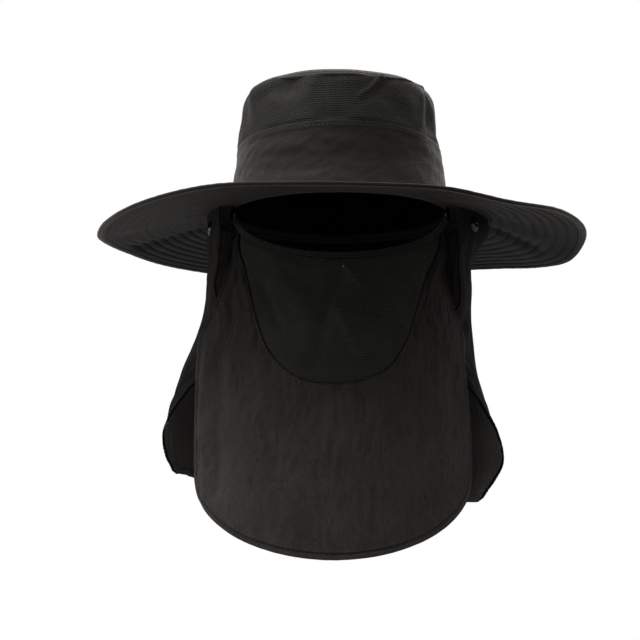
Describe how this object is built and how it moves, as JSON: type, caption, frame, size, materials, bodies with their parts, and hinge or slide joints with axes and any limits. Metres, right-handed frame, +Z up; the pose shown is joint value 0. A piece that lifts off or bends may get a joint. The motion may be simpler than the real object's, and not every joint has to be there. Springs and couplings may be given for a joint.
{
  "type": "sun hat with neck flap and face cover",
  "caption": "Wide-brimmed fabric sun hat with a vented mesh crown ring, a curtain flap round the neck and a press-studded face cover with a mesh breathing insert.",
  "frame": {"origin": "middle of the head opening, in the plane where the crown meets the brim", "axes": "+Z up through the crown; -Y the way the wearer looks; +X the wearer's left"},
  "size_m": [0.3842, 0.4177, 0.3755],
  "materials": {
    "crown_tip": "woven nylon",
    "crown_mesh": "knitted air mesh",
    "crown_band": "crinkled nylon",
    "brim": "crinkled nylon, stitched in rings",
    "brim_binding": "folded tape",
    "neck_flap": "crinkled nylon",
    "face_panel": "crinkled nylon",
    "face_mesh": "knitted air mesh",
    "nose_binding": "folded tape",
    "studs": "dark plated, shiny"
  },
  "bodies": {
    "root": {"crown_tip": "crown_tip", "crown_mesh": "crown_mesh", "crown_band": "crown_band", "brim": "brim", "brim_binding": "brim_binding", "neck_flap": "neck_flap", "face_panel": "face_panel", "face_mesh": "face_mesh", "nose_binding": "nose_binding", "neck_stud_right": "studs", "neck_stud_left": "studs", "side_stud_right": "studs", "side_stud_left": "studs", "cover_stud_right": "studs", "cover_stud_left": "studs"}
  },
  "joints": []
}
